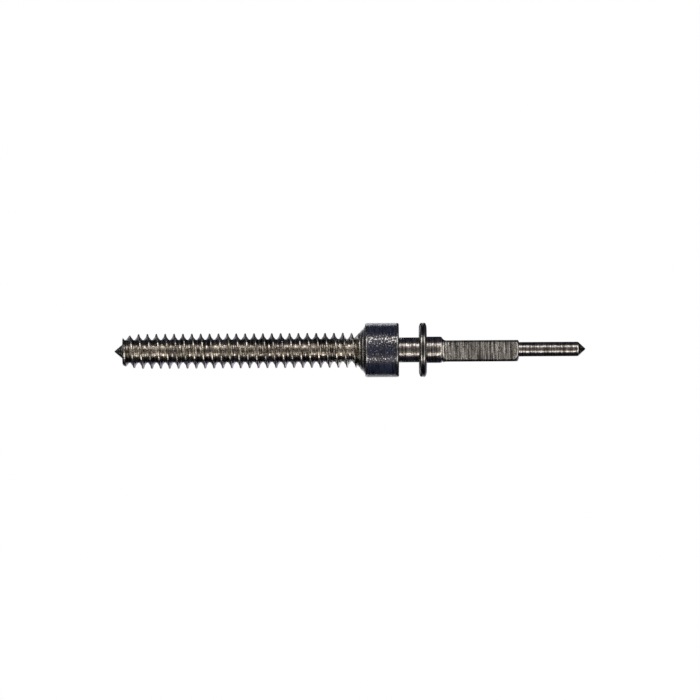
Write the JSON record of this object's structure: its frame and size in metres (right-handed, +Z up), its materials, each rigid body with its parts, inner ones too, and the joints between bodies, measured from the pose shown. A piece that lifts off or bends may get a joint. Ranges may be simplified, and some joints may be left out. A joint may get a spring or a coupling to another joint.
{
  "type": "watch winding stem",
  "caption": "Turned steel winding stem with a threaded crown end, a bearing collar, a setting-lever groove behind a thin disc, a square and a slim pilot.",
  "frame": {"origin": "on the stem's axis, at the crown-side face of the bearing collar", "axes": "+X along the stem towards the pilot, -X towards the crown thread, +Z up"},
  "size_m": [0.0119, 0.0014, 0.0014],
  "materials": {
    "turned_steel": "bright turned steel with fine tool marks, milled flats on the square",
    "blackened_steel": "blue-black hardened steel with a mottled, finely pitted skin",
    "hardened_steel": "dark grey hardened steel with a rounded rim"
  },
  "bodies": {
    "root": {"stem_shaft": "turned_steel", "bearing_collar": "blackened_steel", "lever_flange": "hardened_steel"}
  },
  "joints": []
}
